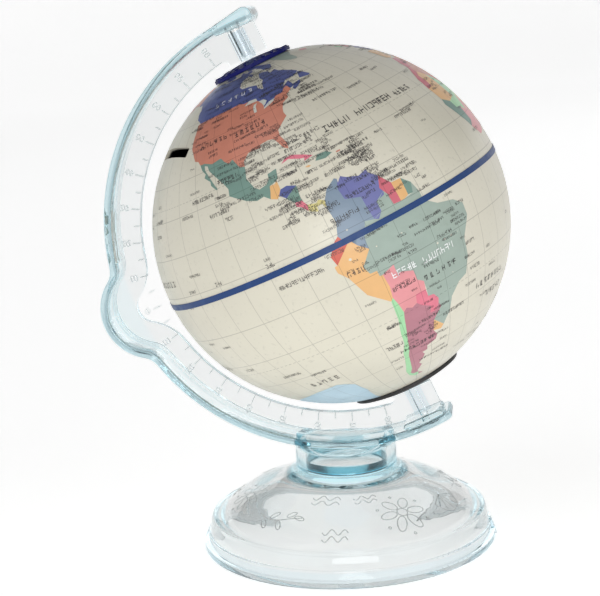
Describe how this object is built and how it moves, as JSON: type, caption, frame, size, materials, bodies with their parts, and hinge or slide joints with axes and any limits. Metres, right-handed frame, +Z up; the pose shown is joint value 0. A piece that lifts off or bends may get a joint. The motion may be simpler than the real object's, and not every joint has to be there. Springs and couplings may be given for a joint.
{
  "type": "desktop globe money box",
  "caption": "Desktop globe money box: printed hollow globe turning on a clear C-shaped arm above a clear domed base, with an hour dial and a bottom stopper.",
  "frame": {"origin": "on the base's own axis at the plane the base stands on", "axes": "+Z up, the arm in the XZ plane, the north pole leaning toward -X, the front facing -Y"},
  "size_m": [0.1631, 0.1404, 0.2147],
  "materials": {
    "clear_plastic": "clear, pale blue injection-moulded plastic, glossy",
    "printed_shell": "cream plastic printed with a political world map, satin gloss",
    "inner_plastic": "plain cream plastic",
    "band_blue": "navy blue",
    "dial_blue": "deep blue, glossy",
    "stopper_black": "black, slightly soft plastic"
  },
  "bodies": {
    "stand": {"base_dome": "clear_plastic", "meridian_arm": "clear_plastic", "north_pivot": "clear_plastic", "south_pivot": "clear_plastic"},
    "globe": {"north_shell": "printed_shell", "south_shell": "printed_shell", "joint_ring": "inner_plastic", "equator_band": "band_blue"},
    "dial": {"hour_dial": "dial_blue"},
    "stopper": {"stopper_cap": "stopper_black"}
  },
  "joints": [
    {"name": "globe_spin", "type": "hinge", "parent": "stand", "child": "globe", "pos_m": [-0.0015, 0, 0.1285], "axis": [-0.3987, 0, 0.9171], "continuous": true},
    {"name": "dial_turn", "type": "hinge", "parent": "globe", "child": "dial", "pos_m": [-0.02941, 0, 0.19269], "axis": [-0.3987, 0, 0.9171], "continuous": true},
    {"name": "stopper_twist", "type": "hinge", "parent": "globe", "child": "stopper", "pos_m": [0.02641, 0, 0.06431], "axis": [-0.3987, 0, 0.9171], "range_deg": [0, 45]}
  ]
}
